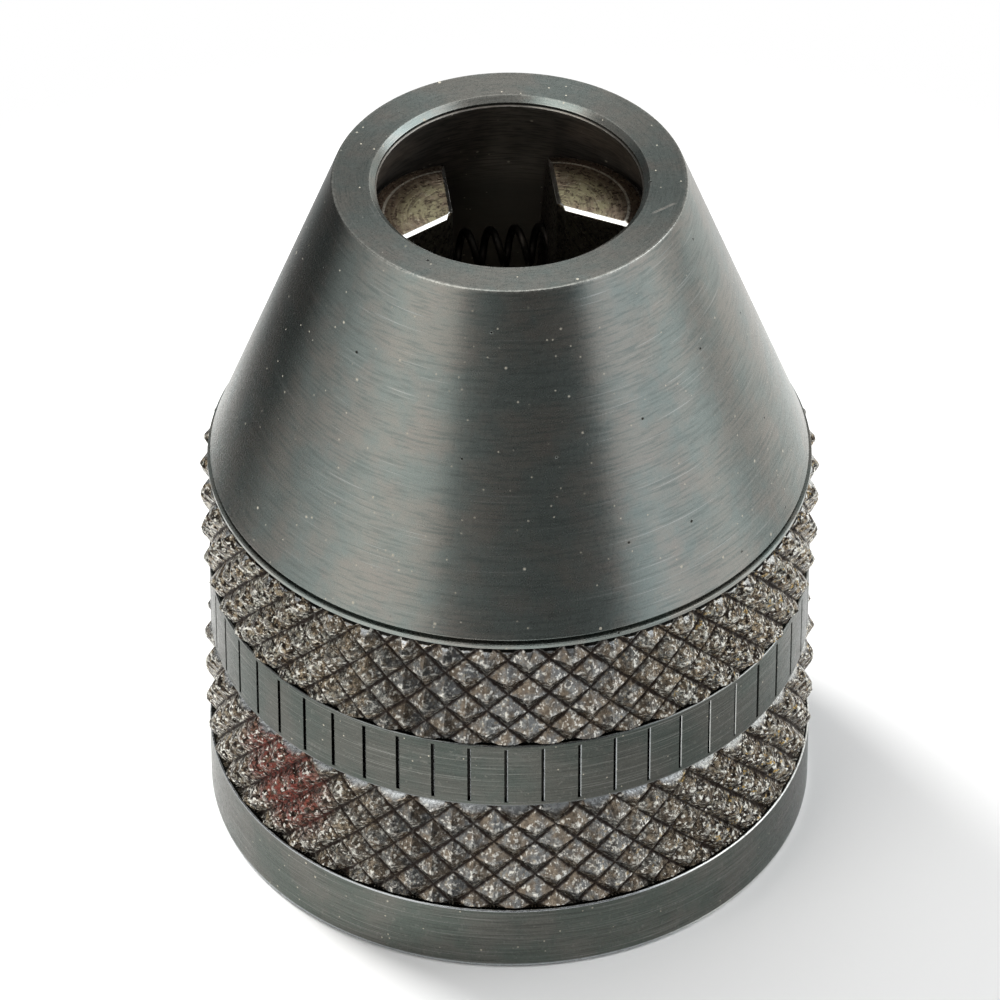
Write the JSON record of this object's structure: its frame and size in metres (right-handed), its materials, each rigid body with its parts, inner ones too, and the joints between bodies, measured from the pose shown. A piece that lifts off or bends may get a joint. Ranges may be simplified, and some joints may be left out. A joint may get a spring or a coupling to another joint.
{
  "type": "drill chuck",
  "caption": "Keyless wedge-type drill chuck for a rotary tool: conical nose, knurled grip, sprung sector jaws and a threaded core.",
  "frame": {"origin": "centre of the rear rim, in the plane that the chuck stands on", "axes": "+Z along the chuck's axis, out of the nose; the gap in the retaining ring faces +Y"},
  "size_m": [0.02, 0.02, 0.0245],
  "materials": {
    "sleeve_steel": "turned and blackened, semi-gloss",
    "grip_steel": "knurled and blackened",
    "core_steel": "turned, lightly blackened",
    "ground_steel": "hardened and ground",
    "spring_steel": "phosphated spring steel",
    "jaw_steel": "hardened, turned and ground, bright",
    "spring_wire": "drawn spring wire"
  },
  "bodies": {
    "core": {"core": "core_steel", "thrust_washer": "ground_steel"},
    "carrier": {"retaining_ring": "spring_steel"},
    "sleeve": {"nose_sleeve": "sleeve_steel", "knurled_grip": "grip_steel"},
    "jaw_1": {"jaw_1": "jaw_steel", "jaw_spring_1": "spring_wire"},
    "jaw_2": {"jaw_2": "jaw_steel", "jaw_spring_2": "spring_wire"},
    "jaw_3": {"jaw_3": "jaw_steel", "jaw_spring_3": "spring_wire"}
  },
  "joints": [
    {"name": "sleeve_travel", "type": "slide", "parent": "core", "child": "carrier", "axis": [0, 0, -1], "range_m": [0, 0.00492]},
    {"name": "sleeve_turn", "type": "hinge", "parent": "carrier", "child": "sleeve", "pos_m": [0, 0, 0], "axis": [0, 0, -1], "range_deg": [0, 1770]},
    {"name": "jaw_1_slide", "type": "slide", "parent": "core", "child": "jaw_1", "axis": [-0.7986, -0.6018, 0], "range_m": [0, 0.00185], "deforming": ["jaw_spring_1"]},
    {"name": "jaw_2_slide", "type": "slide", "parent": "core", "child": "jaw_2", "axis": [0.9205, -0.3907, 0], "range_m": [0, 0.00185], "deforming": ["jaw_spring_2"]},
    {"name": "jaw_3_slide", "type": "slide", "parent": "core", "child": "jaw_3", "axis": [-0.1219, 0.9925, 0], "range_m": [0, 0.00185], "deforming": ["jaw_spring_3"]}
  ],
  "couplings": [
    {"joint": "sleeve_travel", "follows": "sleeve_turn", "m_per_rad": 0.00015915},
    {"joint": "jaw_1_slide", "follows": "sleeve_turn", "m_per_rad": 0.000059739},
    {"joint": "jaw_2_slide", "follows": "sleeve_turn", "m_per_rad": 0.000059739},
    {"joint": "jaw_3_slide", "follows": "sleeve_turn", "m_per_rad": 0.000059739}
  ]
}
